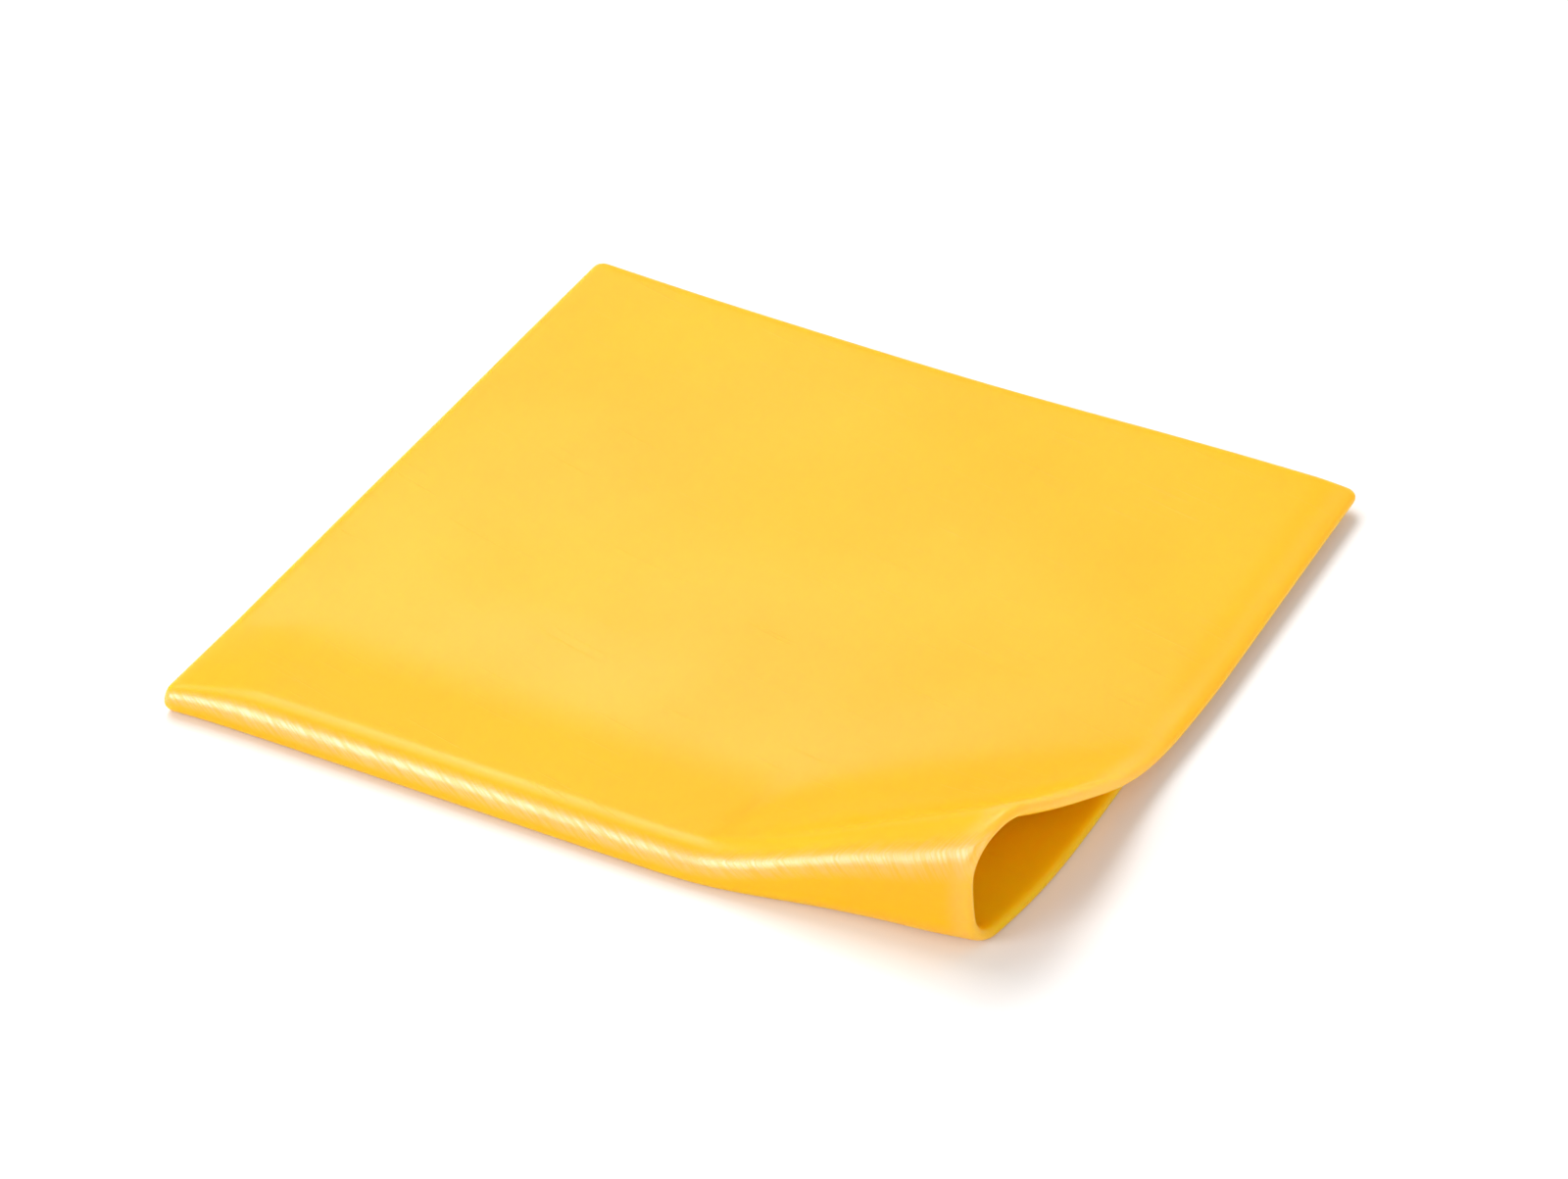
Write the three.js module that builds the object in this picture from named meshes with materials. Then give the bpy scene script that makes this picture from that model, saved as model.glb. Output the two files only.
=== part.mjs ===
// A slice of processed cheese, folded once across its middle. Millimetres, +Z up.
//
// The sheet lies on its lower flap. It runs forward along the flap, turns up and back over
// itself at the fold, and its upper layer lies on the flap all the way to the back. At the left
// end the fold is tight. Towards the right end it opens into a teardrop-shaped loop, whose front
// is drawn back and whose cut edge is drawn in.
//
// +X runs along the fold towards the open end, and +Y from the fold to the back cut edge.

import * as THREE from 'three';
import { mergeVertices } from 'three/addons/utils/BufferGeometryUtils.js';

// The sheet
const WIDTH = 90; // along the fold
const DEPTH = 85; // folded, from the front of the fold to the back cut edge, at the left end
const THICKNESS = 1.35;
const LAYER_GAP = 0.1; // left between the two layers where they lie together
const FLAP_SHORT = 6; // how far the flap stops short of the upper layer's back edge, at the left
const BACK_WAVE = 0.75; // sideways wander of the back cut edge

// The loop, at the open right end. Radii are those of the middle of the sheet.
const LOOP_START = 54; // from the left end to where the fold begins to open
const LOOP_HEIGHT = 14.25; // over the outside
const HEEL_RADIUS = 3.65; // the lower bend, from the flap up into the wall
const BROW_RADIUS = 4.9; // the upper bend, from the wall over to the slope
const SLOPE_ANGLE = THREE.MathUtils.degToRad(27);
const LANDING_RADIUS = 30; // the hollow bend where the slope comes to lie on the flap

// The right-hand cut edge, measured back from the upper layer's edge
const FLAP_INSET = 2.8; // of the flap
const LOOP_INSET = 2.8; // of the front of the loop, on top of the flap's
const INSET_REACH_UP = 10; // how far the loop's inset reaches up and over, along the sheet
const INSET_REACH_DOWN = 12.5; // and how far it reaches down under the loop

// How fast the loop grows from its start: nearly flat at first, then straight like a cone
const GROWTH_EASE = 0.15;
const SLOPE_EASE = 0.06;

// The tight fold springs open by a tenth of the loop's opening, except at its left end.
const SPRING = 0.1;
const SPRING_REACH = 10; // from the left end to where it has sprung fully

// The front of the fold stands back from a straight line through its left corner.
const CORNER_DRAW = 0.55; // behind the corner itself, which bulges forward
const CORNER_REACH = 4; // how fast the corner's bulge fades, along the fold
const FRONT_TAPER = 2.5; // evenly, by the right end
const LOOP_DRAW = 2.35; // more, where the loop opens
const LOOP_DRAW_END = 84;
const RIM_DRAW = 0.7; // and more again, at the loop's own rim
const RIM_DRAW_START = 82;
const RIM_DRAW_END = 92;

// Mesh steps, along the fold and round the section
const CORNER_STEPS = 4;
const TIGHT_STEPS = 3;
const LOOP_STEPS = 11;
const SECTION_STEPS = { flap: 3, heel: 6, wall: 2, brow: 10, slope: 4, landing: 3, upper: 4 };

const LAYER_PITCH = THICKNESS + LAYER_GAP;
const TIGHT_RADIUS = LAYER_PITCH / 2;
// The sheet is as long as the tight fold needs: round the bend once, then both layers.
const TIGHT_FRONT = TIGHT_RADIUS + THICKNESS / 2;
const SHEET_LENGTH = 2 * (DEPTH - TIGHT_FRONT) + Math.PI * TIGHT_RADIUS - FLAP_SHORT;

// A walk along the middle of the sheet in a plane across the fold. Each point keeps its place,
// the direction it is heading in, and how far along the sheet it is.
class SheetWalk {
  constructor(y, z, heading) {
    this.points = [{ y, z, heading, along: 0 }];
  }

  get last() {
    return this.points[this.points.length - 1];
  }

  straight(length, steps) {
    const { y, z, heading, along } = this.last;
    for (let i = 1; i <= steps; i++) {
      const run = (length * i) / steps;
      this.points.push({
        y: y + run * Math.cos(heading),
        z: z + run * Math.sin(heading),
        heading,
        along: along + run,
      });
    }
  }

  // A positive turn bends left, seen along +X.
  bend(radius, turn, steps) {
    const { y, z, heading, along } = this.last;
    const side = Math.sign(turn) * radius;
    const centreY = y - side * Math.sin(heading);
    const centreZ = z + side * Math.cos(heading);
    for (let i = 1; i <= steps; i++) {
      const angle = heading + (turn * i) / steps;
      this.points.push({
        y: centreY + side * Math.sin(angle),
        z: centreZ - side * Math.cos(angle),
        heading: angle,
        along: along + (Math.abs(side * turn) * i) / steps,
      });
    }
  }
}

const { lerp, smoothstep } = THREE.MathUtils;

// 0 where the layers lie as close as they can, 1 at the open end
function openness(u) {
  const sprung = SPRING * smoothstep(u, -0.5 * SPRING_REACH, SPRING_REACH);
  const beyond = Math.max(0, (u - LOOP_START) / (WIDTH - LOOP_START));
  const grown = ((1 + GROWTH_EASE) * beyond * beyond) / (beyond + GROWTH_EASE);
  return lerp(sprung, 1, grown);
}

function frontAt(u) {
  const corner = CORNER_DRAW * (1 - Math.exp(-u / CORNER_REACH));
  const loop = LOOP_DRAW * smoothstep(u, LOOP_START, LOOP_DRAW_END);
  const rim = RIM_DRAW * smoothstep(u, RIM_DRAW_START, RIM_DRAW_END);
  return -DEPTH + corner + (FRONT_TAPER * u) / WIDTH + loop + rim;
}

function backAt(u) {
  return -BACK_WAVE * Math.sin((1.4 * Math.PI * u) / WIDTH);
}

// The middle of the sheet at one place along the fold, from the flap's free edge to the upper
// layer's free edge.
function sectionAt(u) {
  const open = openness(u);
  const steps = SECTION_STEPS;
  const rise = lerp(LAYER_PITCH, LOOP_HEIGHT - THICKNESS, open);
  let heel = lerp(TIGHT_RADIUS, HEEL_RADIUS, open);
  let brow = lerp(TIGHT_RADIUS, BROW_RADIUS, open);
  const fit = Math.min(1, rise / (heel + brow));
  heel *= fit;
  brow *= fit;
  const landing = LANDING_RADIUS * open;
  const fullSlope = (SLOPE_ANGLE * (1 + SLOPE_EASE) * open) / (open + SLOPE_EASE);
  // The bends at both ends of the slope never drop the sheet further than it has risen.
  const steepest = Math.acos(Math.max(0, 1 - (rise - LAYER_PITCH) / (brow + landing)));
  const slope = Math.min(fullSlope, steepest);
  const drop = rise - LAYER_PITCH - (brow + landing) * (1 - Math.cos(slope));
  const slopeLength = slope > 0 ? drop / Math.sin(slope) : 0;

  const walk = new SheetWalk(0, THICKNESS / 2, Math.PI);
  walk.bend(heel, -Math.PI / 2, steps.heel);
  walk.straight(rise - heel - brow, steps.wall);
  const front = walk.last;
  walk.bend(brow, -Math.PI / 2 - slope, steps.brow);
  walk.straight(slopeLength, steps.slope);
  walk.bend(landing, slope, steps.landing);
  const landed = walk.last;

  const shift = frontAt(u) - (front.y - THICKNESS / 2);
  for (const point of walk.points) {
    point.y += shift;
  }
  walk.straight(backAt(u) - landed.y, steps.upper);
  const foot = walk.points[0];
  const flapLength = SHEET_LENGTH - walk.last.along;
  const flap = [];
  for (let i = 0; i < steps.flap; i++) {
    const run = flapLength * (1 - i / steps.flap);
    flap.push({ y: foot.y + run, z: foot.z, heading: foot.heading, along: -run });
  }
  return { points: [...flap, ...walk.points], front: front.along, landed: landed.along };
}

// How far the right-hand cut edge is drawn in, at one place along the section
function insetAt(along, section) {
  const clear = section.landed + INSET_REACH_UP;
  const flapShare = smoothstep(clear - along, 0, clear - section.front);
  const past = along - section.front;
  const reach = past > 0 ? INSET_REACH_UP : INSET_REACH_DOWN;
  return FLAP_INSET * flapShare + LOOP_INSET * Math.exp(-((past / reach) ** 2));
}

// Places along the fold: short steps behind the left corner, wide ones where the fold is even,
// and closing up again towards the open end
function stationAt(index) {
  if (index <= CORNER_STEPS) {
    return (SPRING_REACH * index) / CORNER_STEPS;
  }
  if (index <= CORNER_STEPS + TIGHT_STEPS) {
    return lerp(SPRING_REACH, LOOP_START, (index - CORNER_STEPS) / TIGHT_STEPS);
  }
  const left = 1 - (index - CORNER_STEPS - TIGHT_STEPS) / LOOP_STEPS;
  return WIDTH - (WIDTH - LOOP_START) * left ** 1.3;
}

// A box with one segment for each step is carried, vertex by vertex, to its folded place.
function foldedSheet() {
  const across = CORNER_STEPS + TIGHT_STEPS + LOOP_STEPS;
  const lengthwise = Object.values(SECTION_STEPS).reduce((sum, count) => sum + count, 0);
  const box = new THREE.BoxGeometry(1, 1, 1, across, lengthwise, 1);
  box.deleteAttribute('normal');
  box.deleteAttribute('uv');
  const sheet = mergeVertices(box);
  const sections = [];
  for (let i = 0; i <= across; i++) {
    sections.push(sectionAt(stationAt(i)));
  }
  const place = sheet.getAttribute('position');
  for (let v = 0; v < place.count; v++) {
    const i = Math.round((place.getX(v) + 0.5) * across);
    const j = Math.round((place.getY(v) + 0.5) * lengthwise);
    const outward = place.getZ(v) * THICKNESS;
    const u = stationAt(i);
    const point = sections[i].points[j];
    const x = u - insetAt(point.along, sections[i]) * (u / WIDTH) ** 3;
    const y = point.y - outward * Math.sin(point.heading);
    const z = point.z + outward * Math.cos(point.heading);
    place.setXYZ(v, x, y, z);
  }
  // The origin goes under the middle of the slice, on the surface that it lies on.
  sheet.computeBoundingBox();
  const middle = sheet.boundingBox.getCenter(new THREE.Vector3());
  sheet.translate(-middle.x, -middle.y, 0);
  sheet.computeVertexNormals();
  return sheet;
}

const cheese = new THREE.MeshStandardMaterial({
  color: 0xfbc740,
  roughness: 0.35,
  metalness: 0,
});

const slice = new THREE.Mesh(foldedSheet(), cheese);
slice.name = 'cheese_slice';

const part = new THREE.Group();
part.add(slice);

export default part;
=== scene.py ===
"""A slice of processed cheese, folded once, with the fold curling open at one end. Metres, +Z up.

The sheet is modelled flat, as a thin slab with rounded cut edges, and carried vertex by vertex to
its folded place. +X runs along the fold towards the open end, +Y from the fold to the back edge.
"""

import math

import bpy
import numpy as np
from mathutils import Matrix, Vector


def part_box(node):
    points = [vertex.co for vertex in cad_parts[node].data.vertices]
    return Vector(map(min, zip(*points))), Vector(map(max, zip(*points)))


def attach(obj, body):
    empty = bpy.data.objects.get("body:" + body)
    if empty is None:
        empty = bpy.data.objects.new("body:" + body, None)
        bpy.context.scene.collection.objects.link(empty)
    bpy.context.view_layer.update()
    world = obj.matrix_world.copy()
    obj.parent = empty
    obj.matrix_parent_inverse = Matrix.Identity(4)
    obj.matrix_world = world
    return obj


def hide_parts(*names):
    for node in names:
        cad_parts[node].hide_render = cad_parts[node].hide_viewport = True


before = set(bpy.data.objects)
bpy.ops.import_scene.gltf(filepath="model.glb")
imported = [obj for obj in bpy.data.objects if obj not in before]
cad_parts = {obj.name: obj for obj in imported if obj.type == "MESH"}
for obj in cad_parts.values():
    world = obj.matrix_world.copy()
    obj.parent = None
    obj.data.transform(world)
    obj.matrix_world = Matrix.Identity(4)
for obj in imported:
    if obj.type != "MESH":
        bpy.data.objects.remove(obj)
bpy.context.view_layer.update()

MM = 0.001

# The sheet, as the CAD model folds it
low_corner, high_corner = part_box("cheese_slice")
WIDTH = high_corner.x - low_corner.x
LEFT = low_corner.x
FRONT = low_corner.y
THICKNESS = 1.35 * MM
LAYER_GAP = 0.1 * MM
DEPTH = 85 * MM
FLAP_SHORT = 6 * MM
BACK_WAVE = 0.75 * MM

# The loop at the open end. Its front starts to draw back at LOOP_START, and here it starts to rise
# at GROWTH_START, a little later than in the CAD model. SPRING_SLOPE and SPRING_BROW give the tight
# fold a rounder top than the CAD model's.
LOOP_START = 54 * MM
GROWTH_START = 58.5 * MM
LOOP_HEIGHT = high_corner.z
HEEL_RADIUS = 3.65 * MM
BROW_RADIUS = 4.9 * MM
SLOPE_ANGLE = math.radians(27)
LANDING_RADIUS = 30 * MM
CORNER_DRAW = 0.55 * MM
CORNER_REACH = 4 * MM
FRONT_TAPER = 2.5 * MM
LOOP_DRAW = 2.35 * MM
LOOP_DRAW_END = 84 * MM
RIM_DRAW = 0.7 * MM
RIM_DRAW_START = 82 * MM
RIM_DRAW_END = 92 * MM
FLAP_INSET = 2.8 * MM
LOOP_INSET = 2.8 * MM
INSET_REACH_UP = 10 * MM
INSET_REACH_DOWN = 12.5 * MM
GROWTH_EASE = 0.15
SPRING = 0.1
SPRING_REACH = 10 * MM
SPRING_SLOPE = math.radians(6)
SPRING_BROW = 0.85 * MM
SLOPE_EASE = 0.06

LAYER_PITCH = THICKNESS + LAYER_GAP
TIGHT_RADIUS = LAYER_PITCH / 2
TIGHT_FRONT = TIGHT_RADIUS + THICKNESS / 2
SHEET_LENGTH = 2 * (DEPTH - TIGHT_FRONT) + math.pi * TIGHT_RADIUS - FLAP_SHORT

# The rounded cut edge
RIM_REACH = 1.3 * MM
RIM_STEPS = 10
RIM_SQUARENESS = 2.5
CORNER_STEPS = 6

# The skin: how many UV units make a metre of sheet, where round the bend (in radians) it is
# stretched and marked, how far its marks lean, and how far the painted light on the cut edge reaches
# in
SHEET_SCALE = 10
CREST = math.radians(42)
STRETCH_BEGINS = (0.0, 0.45)
STRETCH_ENDS = (0.8, 1.15)
LOOP_EASING = 0.35
MARK_LEAN = 0.7
PAINTED_RIM_LIGHT_REACH = 3.4 * MM

# How the upper layer lies
UNDULATION = 0.1 * MM
EDGE_SAG = 0.35 * MM
EDGE_SAG_REACH = 5 * MM
SETTLING = 12 * MM

# Colours of the cheese, and the lengths and widths of the marks on it
PALE_CHEESE = (0.94, 0.465, 0.004, 1)
DEEP_CHEESE = (0.92, 0.43, 0.002, 1)
# Painted light: this paler colour on the cut edge stands in for light catching it
PAINTED_LIT_RIM = (0.86, 0.46, 0.045, 1)
# Painted bounce light: the inside of the fold brighter and more orange, as if lit by light bouncing
# round in the loop
PAINTED_BOUNCE_INNER = (1.0, 0.51, 0.003, 1)
FOLD_MARK = (3 * MM, 0.22 * MM)
LOOP_MARK = (4 * MM, 0.3 * MM)
SCRATCH = (16 * MM, 0.25 * MM)
MARKS_CHANGE = (52 * MM, 66 * MM)
SCATTERING = (1.0, 0.55, 0.06)
SCATTERING_DEPTH = 2.8 * MM

# The studio
FLOOR_HALF = 3.0
FLOOR_ALBEDO = 0.9
LIGHT_DISTANCE = 1.5
CAMERA_LENS = 101.75
CAMERA_TARGET = Vector((-0.9 * MM, 3.05 * MM, 0))
CAMERA_ANGLES = (28.17, 38.32)
CAMERA_DISTANCE = 447 * MM


def mix(a, b, share):
    return a + (b - a) * share


def smoothstep(x, low, high):
    """0 below low, 1 above high, and an even curve between them."""
    t = np.clip((x - low) / (high - low), 0, 1)
    return t * t * (3 - 2 * t)


def fold_pieces(u):
    """Sizes of the section's pieces at each place u along the fold, and where each one starts."""
    beyond = np.maximum(0, (u - GROWTH_START) / (WIDTH - GROWTH_START))
    opened = (1 + GROWTH_EASE) * beyond**2 / (beyond + GROWTH_EASE)
    sprung = smoothstep(u, -0.3 * SPRING_REACH, SPRING_REACH)
    slope = SLOPE_ANGLE * (1 + SLOPE_EASE) * opened / (opened + SLOPE_EASE)
    slope = slope + SPRING_SLOPE * sprung * (1 - opened)
    rounder = SPRING_BROW * sprung * (1 - smoothstep(opened, 0, 0.4))
    opened = mix(SPRING * sprung, 1, opened)
    rise = mix(LAYER_PITCH, LOOP_HEIGHT - THICKNESS, opened)
    heel = mix(TIGHT_RADIUS, HEEL_RADIUS, opened) - 0.5 * rounder
    brow = mix(TIGHT_RADIUS, BROW_RADIUS, opened) + rounder
    landing = mix(2 * LANDING_RADIUS * sprung, LANDING_RADIUS, opened)
    spare = 1 - (rise - LAYER_PITCH) / (brow + landing)
    slope = np.minimum(slope, np.arccos(np.clip(spare, -1, 1)))
    drop = rise - LAYER_PITCH - (brow + landing) * (1 - np.cos(slope))
    slope_length = np.where(slope > 1e-9, drop / np.maximum(np.sin(slope), 1e-9), 0)

    share = u / WIDTH
    front = FRONT + CORNER_DRAW * (1 - np.exp(-u / CORNER_REACH)) + FRONT_TAPER * share
    front = front + LOOP_DRAW * smoothstep(u, LOOP_START, LOOP_DRAW_END)
    front = front + RIM_DRAW * smoothstep(u, RIM_DRAW_START, RIM_DRAW_END)
    back = FRONT + DEPTH - BACK_WAVE * np.sin(1.4 * math.pi * u / WIDTH)
    foot_y = front + heel + THICKNESS / 2
    brow_y = foot_y - heel + brow
    slope_y = brow_y + brow * np.sin(slope)
    slope_z = THICKNESS / 2 + rise - brow * (1 - np.cos(slope))
    landing_y = slope_y + slope_length * np.cos(slope) + landing * np.sin(slope)
    lengths = [
        heel * math.pi / 2,
        rise - heel - brow,
        brow * (math.pi / 2 + slope),
        slope_length,
        landing * slope,
    ]
    upper = back - landing_y
    flap = SHEET_LENGTH - upper - sum(lengths)
    starts = [flap]
    for length in lengths:
        starts.append(starts[-1] + length)
    return {
        "rise": rise, "heel": heel, "brow": brow, "landing": landing, "slope": slope,
        "foot_y": foot_y, "brow_y": brow_y, "slope_y": slope_y, "slope_z": slope_z,
        "landing_y": landing_y, "starts": starts,
    }


def folded(u, along):
    """Where the middle of the sheet lies, at u along the fold and so far from the flap's end."""
    p = fold_pieces(u)
    flap, heel_end, wall_end, brow_end, slope_end, landed = p["starts"]
    half = THICKNESS / 2
    tiny = 1e-9
    heel_turn = (along - flap) / p["heel"]
    brow_turn = (along - wall_end) / p["brow"]
    run = along - brow_end
    landing_turn = -p["slope"] + (along - slope_end) / np.maximum(p["landing"], tiny)
    pieces = [
        (along < flap, p["foot_y"] + flap - along, half),
        (along < heel_end, p["foot_y"] - p["heel"] * np.sin(heel_turn),
         half + p["heel"] * (1 - np.cos(heel_turn))),
        (along < wall_end, p["foot_y"] - p["heel"], half + p["heel"] + along - heel_end),
        (along < brow_end, p["brow_y"] - p["brow"] * np.cos(brow_turn),
         half + p["rise"] - p["brow"] * (1 - np.sin(brow_turn))),
        (along < slope_end, p["slope_y"] + run * np.cos(p["slope"]),
         p["slope_z"] - run * np.sin(p["slope"])),
        (along < landed, p["landing_y"] + p["landing"] * np.sin(landing_turn),
         half + LAYER_PITCH + p["landing"] * (1 - np.cos(landing_turn))),
    ]
    conditions = [piece[0] for piece in pieces]
    y = np.select(conditions, [piece[1] for piece in pieces], p["landing_y"] + along - landed)
    heights = [np.broadcast_to(piece[2], y.shape) for piece in pieces]
    z = np.select(conditions, heights, half + LAYER_PITCH)

    clear = landed + INSET_REACH_UP
    inset = FLAP_INSET * smoothstep(clear - along, 0, clear - wall_end)
    past = along - wall_end
    reach = np.where(past > 0, INSET_REACH_UP, INSET_REACH_DOWN)
    inset = inset + LOOP_INSET * np.exp(-((past / reach) ** 2))
    x = LEFT + u - inset * (u / WIDTH) ** 3

    # The upper layer lies a little unevenly, and sags where its right edge has no flap under it.
    on_top = smoothstep(along - landed, 0, SETTLING)
    waves = (np.sin(70 * x + 1.3) * np.cos(95 * y + 0.4)
             + 0.7 * np.sin(160 * x - 110 * y + 2.1) + 0.4 * np.cos(210 * y + 120 * x))
    z = z + on_top * UNDULATION * (1 + 0.5 * waves)
    z = z - on_top * EDGE_SAG * smoothstep(u, WIDTH - EDGE_SAG_REACH, WIDTH + RIM_REACH)
    return np.stack([x, y, z], -1)


def folded_with_normal(u, along, outward):
    """Points at a height outward off the middle of the sheet, along its own normal."""
    step = 0.02 * MM
    across = folded(u + step, along) - folded(u - step, along)
    lengthwise = folded(u, along + step) - folded(u, along - step)
    normal = np.cross(across, lengthwise)
    normal /= np.linalg.norm(normal, axis=-1, keepdims=True)
    return folded(u, along) + normal * outward[..., None]


def brow_turn(u, along):
    """How far round the bend over the fold a place lies, in radians up from its front."""
    p = fold_pieces(u)
    return (along - p["starts"][2]) / p["brow"]


def stretched_share(u, along, outward):
    """How much the skin is stretched: most on the outside of the bend, less where it is open."""
    turn = brow_turn(u, along)
    on_bend = smoothstep(turn, *STRETCH_BEGINS) * (1 - smoothstep(turn, *STRETCH_ENDS))
    easing = 1 - LOOP_EASING * smoothstep(u, LOOP_START, LOOP_DRAW_END)
    return on_bend * easing * (outward > 0)


def painted_rim_light_share(u, along, outward):
    """Painted light on the cut edge, paler as if lit: 1 on the cut edge and its lip round the loop's
    mouth, less on the rest of the top's edge, and there only on its upper half.
    """
    to_side = np.minimum(WIDTH - u, 2 * u)
    starts = fold_pieces(u)["starts"]
    round_mouth = smoothstep(along, starts[0], starts[1]) * (u > LOOP_START)
    round_mouth = round_mouth * (1 - smoothstep(along, starts[4], starts[5] + INSET_REACH_UP))
    upper = smoothstep(along, starts[0], starts[2])
    outside = smoothstep(outward, -0.2 * THICKNESS, 0.5 * THICKNESS)
    near_edge = 1 - smoothstep(to_side, 0.4 * PAINTED_RIM_LIGHT_REACH, PAINTED_RIM_LIGHT_REACH)
    inside = smoothstep(-to_side, -0.3 * RIM_REACH, 0) + (outward > 0)
    return near_edge * np.maximum(round_mouth * np.minimum(inside, 1), 0.4 * upper * outside)


def painted_bounce_light_share(u, outward):
    """Painted bounce light: 1 on the inside of the fold, up to its cut edge, coloured brighter and
    more orange to stand in for light bouncing round inside the loop.
    """
    to_edge = 1 - smoothstep(u, WIDTH - 0.3 * MM, WIDTH + 0.3 * MM)
    return smoothstep(-outward, 0, 0.5 * THICKNESS) * to_edge


def graded(stops):
    """Places from the first stop to the last, given as (place, number of steps to the next)."""
    places = []
    for (start, steps), (end, _) in zip(stops[:-1], stops[1:]):
        places.extend(np.linspace(start, end, steps, endpoint=False))
    return np.array(places + [stops[-1][0]])


def sheet_grid():
    """Places (u, along) of the grid that covers the sheet inside its rim."""
    inset = RIM_REACH
    u = graded([(inset, 8), (6 * MM, 26), (LOOP_START - 6 * MM, 34), (78 * MM, 30),
                (WIDTH - inset, 0)])
    flap = fold_pieces(u)["starts"][0]
    bend = graded([(-1.5 * MM, 32), (3.5 * MM, 46), (24 * MM, 28), (46 * MM, 0)])
    lines = [inset + (flap - 1.5 * MM - inset) * i / 50 for i in range(50)]
    lines += [flap + offset for offset in bend]
    end = SHEET_LENGTH - inset
    last = flap + bend[-1]
    lines += [last + (end - last) * i / 34 for i in range(1, 35)]
    along = np.stack(lines, 1)
    return np.broadcast_to(u[:, None], along.shape), along


def rim_ladders(index, flat):
    """The rounded cut edge round the grid's border, as the flat places and heights of its points
    and, for each column down the edge, their numbers from the outer face to the inner one.

    The columns fan out at the corners. The two faces' points are numbered before the rim's.
    """
    count = index.size
    sides = [
        (index[:, 0], (0, -1)), (index[-1, :], (1, 0)),
        (index[::-1, -1], (0, 1)), (index[0, ::-1], (-1, 0)),
    ]
    columns = []
    for border, (du, da) in sides:
        heading = math.atan2(da, du)
        columns.extend((vertex, heading) for vertex in border)
        for k in range(1, CORNER_STEPS):
            columns.append((border[-1], heading + math.pi / 2 * k / CORNER_STEPS))
    angles = np.linspace(math.pi / 2, -math.pi / 2, RIM_STEPS + 1)[1:-1]
    power = 2 / RIM_SQUARENESS
    reach = RIM_REACH * np.cos(angles) ** power
    height = THICKNESS / 2 * np.sign(angles) * np.abs(np.sin(angles)) ** power
    rim_flat, rim_out, ladders = [], [], []
    for vertex, heading in columns:
        away = np.array([math.cos(heading), math.sin(heading)])
        rim_flat.append(flat[vertex] + reach[:, None] * away)
        rim_out.append(height)
        start = 2 * count + len(ladders) * len(angles)
        ladders.append([vertex, *range(start, start + len(angles)), vertex + count])
    return rim_flat, rim_out, ladders


def sheet_mesh():
    """The folded sheet: the grid's outer and inner faces, and the rounded rim that joins them."""
    u, along = sheet_grid()
    across, lengthwise = u.shape
    count = u.size
    index = np.arange(count).reshape(u.shape)
    flat = [np.stack([u, along], -1).reshape(-1, 2)] * 2
    outward = [np.full(count, THICKNESS / 2), np.full(count, -THICKNESS / 2)]
    faces = []
    for i in range(across - 1):
        for j in range(lengthwise - 1):
            a, b, c, d = index[i, j], index[i + 1, j], index[i + 1, j + 1], index[i, j + 1]
            faces.append((a, b, c, d))
            faces.append((a + count, d + count, c + count, b + count))

    rim_flat, rim_out, ladders = rim_ladders(index, flat[0])
    for this, following in zip(ladders, ladders[1:] + ladders[:1]):
        for k in range(len(this) - 1):
            corners = [this[k], this[k + 1], following[k + 1], following[k]]
            faces.append(tuple(dict.fromkeys(corners)))

    flat = np.concatenate(flat + rim_flat)
    outward = np.concatenate(outward + rim_out)
    points = folded_with_normal(flat[:, 0], flat[:, 1], outward)
    mesh = bpy.data.meshes.new("cheese_sheet")
    mesh.from_pydata(points.tolist(), [], faces)
    mesh.validate()
    mesh.shade_smooth()
    # The flat sheet's own places carry the marks and scratches round the fold. In the second
    # layer the marks lean away from the crest of the bend, by how far round it they lie.
    behind = (brow_turn(flat[:, 0], flat[:, 1]) - CREST) * BROW_RADIUS
    leaning = np.stack([flat[:, 0] - MARK_LEAN * np.abs(behind), behind], -1)
    loops = np.empty(len(mesh.loops), int)
    mesh.loops.foreach_get("vertex_index", loops)
    for name, places in (("flat_sheet", flat), ("loop_marks", leaning)):
        layer = mesh.uv_layers.new(name=name)
        layer.data.foreach_set("uv", (places[loops] * SHEET_SCALE).ravel())
    shares = {
        "stretched": stretched_share(flat[:, 0], flat[:, 1], outward),
        "rim": painted_rim_light_share(flat[:, 0], flat[:, 1], outward),
        "inner": painted_bounce_light_share(flat[:, 0], outward),
    }
    for name, share in shares.items():
        attribute = mesh.attributes.new(name, "FLOAT", "POINT")
        attribute.data.foreach_set("value", share)
    return mesh


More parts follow.
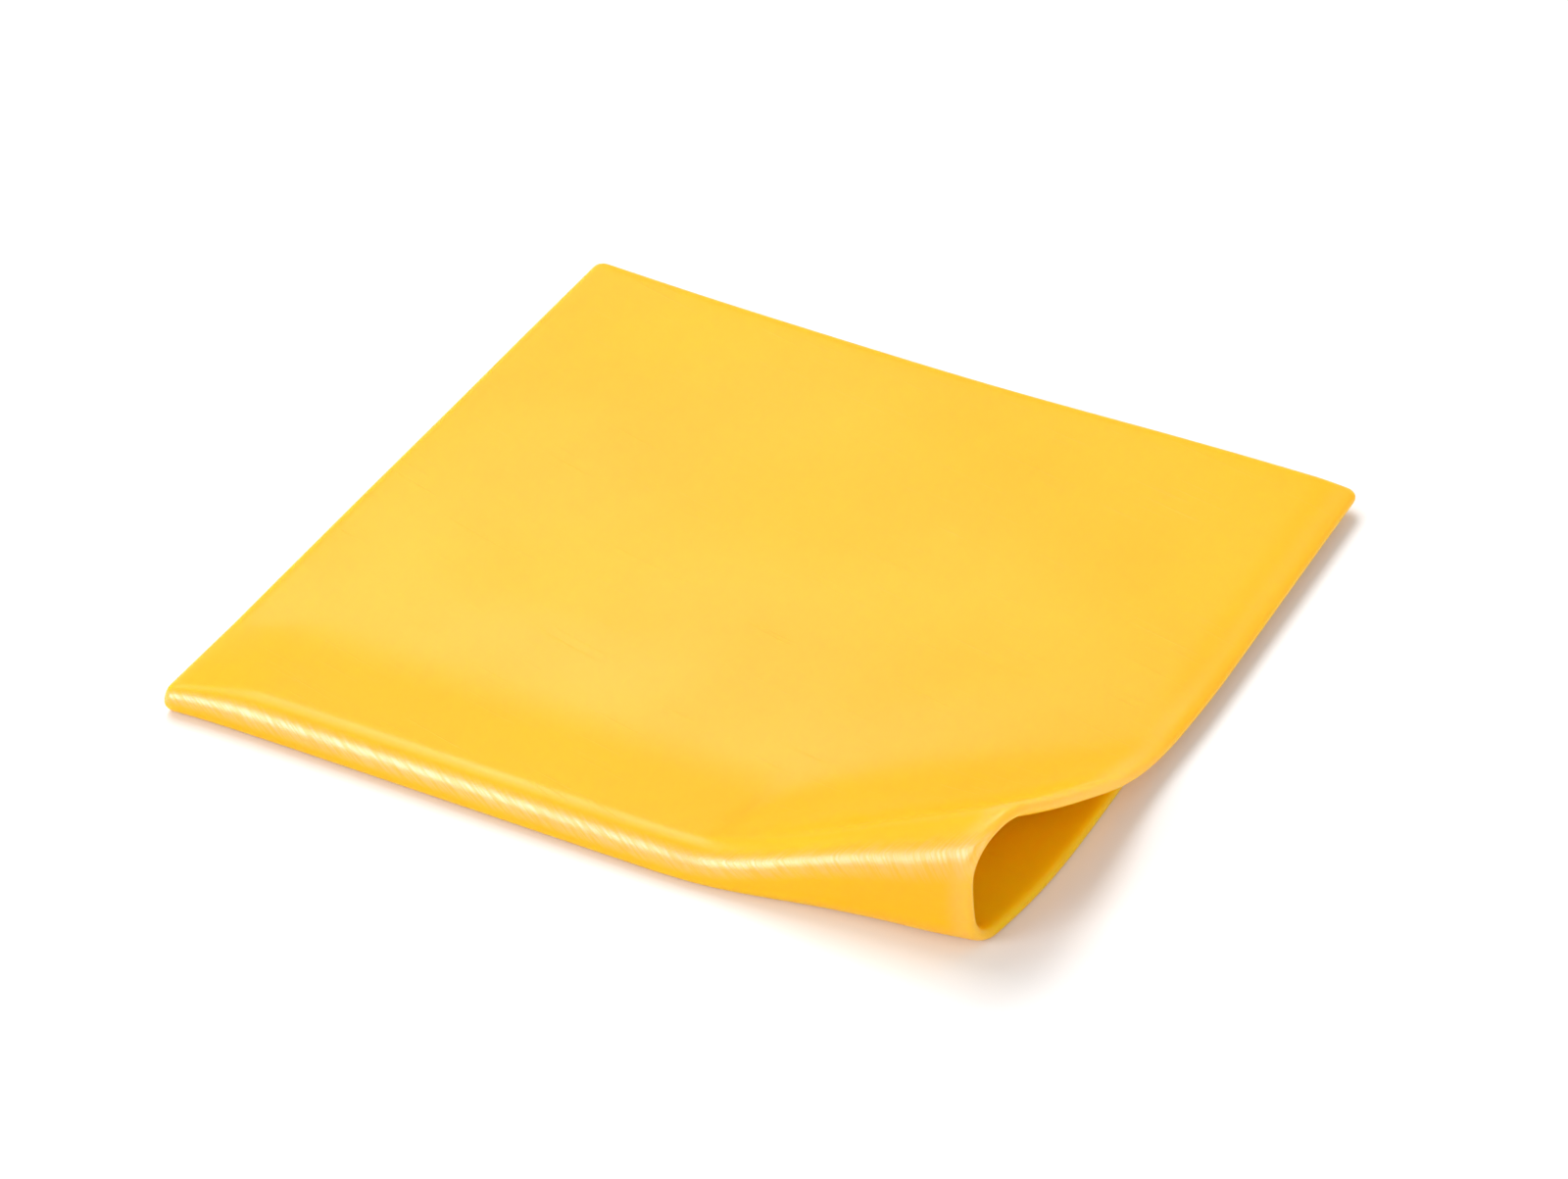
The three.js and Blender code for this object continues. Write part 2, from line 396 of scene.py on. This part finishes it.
class Nodes:
    """Short calls for building one material's node tree."""

    def __init__(self, material):
        material.use_nodes = True
        self.tree = material.node_tree
        self.shader = self.tree.nodes["Principled BSDF"]

    def add(self, kind, **inputs):
        node = self.tree.nodes.new(kind)
        for name, value in inputs.items():
            self.feed(node, name, value)
        return node

    def feed(self, node, name, value):
        socket = node.inputs[name]
        if isinstance(value, bpy.types.NodeSocket):
            self.tree.links.new(value, socket)
        else:
            socket.default_value = value

    def blend(self, factor, a, b, data_type):
        """a where factor is 0 and b where it is 1, for data_type FLOAT or RGBA."""
        node = self.tree.nodes.new("ShaderNodeMix")
        node.data_type = data_type
        places = {"FLOAT": (2, 3, 0), "RGBA": (6, 7, 2)}[data_type]
        self.tree.links.new(factor, node.inputs[0])
        for place, value in zip(places, (a, b)):
            self.feed(node, place, value)
        return node.outputs[places[2]]

    def uv(self, name):
        node = self.add("ShaderNodeUVMap")
        node.uv_map = name
        return node.outputs["UV"]

    def attribute(self, name):
        node = self.add("ShaderNodeAttribute")
        node.attribute_name = name
        return node.outputs["Fac"]

    def product(self, a, b):
        node = self.add("ShaderNodeMath")
        node.operation = "MULTIPLY"
        self.tree.links.new(a, node.inputs[0])
        self.tree.links.new(b, node.inputs[1])
        return node.outputs["Value"]

    def ramp(self, source, low, high, start, end):
        """start where source is low or less, end where it is high or more, even between."""
        node = self.tree.nodes.new("ShaderNodeMapRange")
        self.feed(node, "Value", source)
        self.feed(node, "From Min", low)
        self.feed(node, "From Max", high)
        self.feed(node, "To Min", start)
        self.feed(node, "To Max", end)
        return node.outputs["Result"]


def streak_noise(nodes, places, angle, long, wide):
    """Noise drawn out into streaks of this length and width, at an angle on the sheet."""
    turned = nodes.add("ShaderNodeMapping", Vector=places)
    turned.vector_type = "TEXTURE"
    turned.inputs["Rotation"].default_value = (0, 0, math.radians(angle))
    turned.inputs["Scale"].default_value = (long * SHEET_SCALE, wide * SHEET_SCALE, 1)
    noise = nodes.add("ShaderNodeTexNoise", Vector=turned.outputs["Vector"], Scale=1.0, Detail=2.0)
    return noise.outputs["Fac"]


def cheese_material():
    material = bpy.data.materials.new("cheese")
    nodes = Nodes(material)
    shader = nodes.shader
    place = nodes.add("ShaderNodeNewGeometry").outputs["Position"]
    flat = nodes.uv("flat_sheet")

    # Colour: soft blotches, paler and deeper, a few centimetres across; painted bounce light inside
    # the fold; and painted light on the cut edge, paler
    blotches = nodes.add("ShaderNodeTexNoise", Vector=place, Scale=38.0, Detail=3.0).outputs["Fac"]
    blotch = nodes.ramp(blotches, 0.3, 0.7, 0.0, 1.0)
    cheese = nodes.blend(blotch, PALE_CHEESE, DEEP_CHEESE, "RGBA")
    # Painted bounce light on the inside of the fold
    cheese = nodes.blend(nodes.attribute("inner"), cheese, PAINTED_BOUNCE_INNER, "RGBA")
    # Painted light: the cut edge paler, fully round the loop's mouth, on the rest of the top's edge
    # only its upper half
    cheese = nodes.blend(nodes.attribute("rim"), cheese, PAINTED_LIT_RIM, "RGBA")
    nodes.feed(shader, "Base Color", cheese)

    # Fine marks left by the wrapper: aslant along the tight fold, and leaning away from the
    # crest on both sides where the fold opens
    along_fold = streak_noise(nodes, flat, -25, *FOLD_MARK)
    round_loop = streak_noise(nodes, nodes.uv("loop_marks"), 90, *LOOP_MARK)
    across = nodes.add("ShaderNodeSeparateXYZ", Vector=flat).outputs["X"]
    begins, ends = MARKS_CHANGE
    opening = nodes.ramp(across, begins * SHEET_SCALE, ends * SHEET_SCALE, 0.0, 1.0)
    streaks = nodes.blend(opening, along_fold, round_loop, "FLOAT")
    marks = nodes.ramp(streaks, 0.40, 0.60, 0.0, 1.0)
    # A few longer scratches on the flat of the sheet
    scratches = nodes.ramp(streak_noise(nodes, flat, -12, *SCRATCH), 0.66, 0.74, 0.0, 1.0)
    grain = nodes.add("ShaderNodeTexNoise", Vector=place, Scale=1400.0, Detail=2.0).outputs["Fac"]

    # The skin is stretched over the fold. It is marked and shiny there.
    stretched = nodes.attribute("stretched")
    bump = nodes.add("ShaderNodeBump", Height=nodes.product(stretched, marks), Strength=0.6,
                     Distance=0.02 * MM)
    bump = nodes.add("ShaderNodeBump", Height=scratches, Strength=0.5, Distance=0.03 * MM,
                     Normal=bump.outputs["Normal"])
    bump = nodes.add("ShaderNodeBump", Height=grain, Strength=0.25, Distance=0.02 * MM,
                     Normal=bump.outputs["Normal"])
    nodes.feed(shader, "Normal", bump.outputs["Normal"])
    nodes.feed(shader, "Roughness", nodes.ramp(blotches, 0.3, 0.7, 0.30, 0.36))
    nodes.feed(shader, "Coat Weight", nodes.product(stretched, nodes.ramp(marks, 0.0, 1.0, 0.45, 1.0)))
    shader.inputs["Coat Roughness"].default_value = 0.38
    shader.inputs["Coat IOR"].default_value = 2.2

    shader.subsurface_method = "RANDOM_WALK"
    shader.inputs["Subsurface Weight"].default_value = 1.0
    shader.inputs["Subsurface Radius"].default_value = SCATTERING
    shader.inputs["Subsurface Scale"].default_value = SCATTERING_DEPTH
    shader.inputs["IOR"].default_value = 1.45
    shader.inputs["Specular IOR Level"].default_value = 0.25
    return material


def add_piece(name, mesh, material, body="root"):
    piece = bpy.data.objects.new(name, mesh)
    bpy.context.scene.collection.objects.link(piece)
    mesh.materials.append(material)
    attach(piece, body)
    return piece


def add_floor():
    mesh = bpy.data.meshes.new("floor")
    half = FLOOR_HALF
    corners = [(-half, -half, 0), (half, -half, 0), (half, half, 0), (-half, half, 0)]
    mesh.from_pydata(corners, [], [(0, 1, 2, 3)])
    floor = bpy.data.objects.new("floor", mesh)
    bpy.context.scene.collection.objects.link(floor)
    material = bpy.data.materials.new("white_floor")
    shader = Nodes(material).shader
    shader.inputs["Base Color"].default_value = (FLOOR_ALBEDO,) * 3 + (1,)
    shader.inputs["Roughness"].default_value = 0.9
    shader.inputs["Specular IOR Level"].default_value = 0.0
    mesh.materials.append(material)


def direction(azimuth, elevation):
    """From the slice towards something; azimuth 0 is in front, and it grows to the right."""
    a, e = math.radians(azimuth), math.radians(elevation)
    return Vector((math.sin(a) * math.cos(e), -math.cos(a) * math.cos(e), math.sin(e)))


def add_softbox(name, azimuth, elevation, spread, brightness):
    """A round light at LIGHT_DISTANCE that faces the slice; spread is its angular radius."""
    radius = LIGHT_DISTANCE * math.tan(math.radians(spread))
    light = bpy.data.lights.new(name, "AREA")
    light.shape = "DISK"
    light.size = 2 * radius
    light.energy = brightness * math.pi * math.pi * radius**2
    lamp = bpy.data.objects.new(name, light)
    bpy.context.scene.collection.objects.link(lamp)
    towards = direction(azimuth, elevation)
    lamp.location = towards * LIGHT_DISTANCE
    lamp.rotation_euler = towards.to_track_quat("Z", "Y").to_euler()


def add_world(strength):
    world = bpy.data.worlds.new("studio")
    bpy.context.scene.world = world
    world.use_nodes = True
    background = world.node_tree.nodes["Background"]
    background.inputs["Color"].default_value = (1, 1, 1, 1)
    background.inputs["Strength"].default_value = strength


def add_camera():
    data = bpy.data.cameras.new("camera")
    data.lens = CAMERA_LENS
    data.sensor_width = 36
    data.clip_start = 0.01
    camera = bpy.data.objects.new("camera", data)
    bpy.context.scene.collection.objects.link(camera)
    towards = direction(*CAMERA_ANGLES)
    camera.location = CAMERA_TARGET + towards * CAMERA_DISTANCE
    camera.rotation_euler = towards.to_track_quat("Z", "Y").to_euler()
    bpy.context.scene.camera = camera


cheese = add_piece("cheese_sheet", sheet_mesh(), cheese_material())
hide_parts("cheese_slice")

add_floor()
add_world(0.56)
add_softbox("left_key", -116, 60, 18, 4.2)
add_softbox("front_softbox", -30, 26, 12, 9.2)
add_softbox("back_softbox", -146, 50, 11, 7.8)
add_softbox("right_fill", 66, 20, 20, 2.0)
add_camera()

bpy.context.scene.view_settings.view_transform = "Standard"
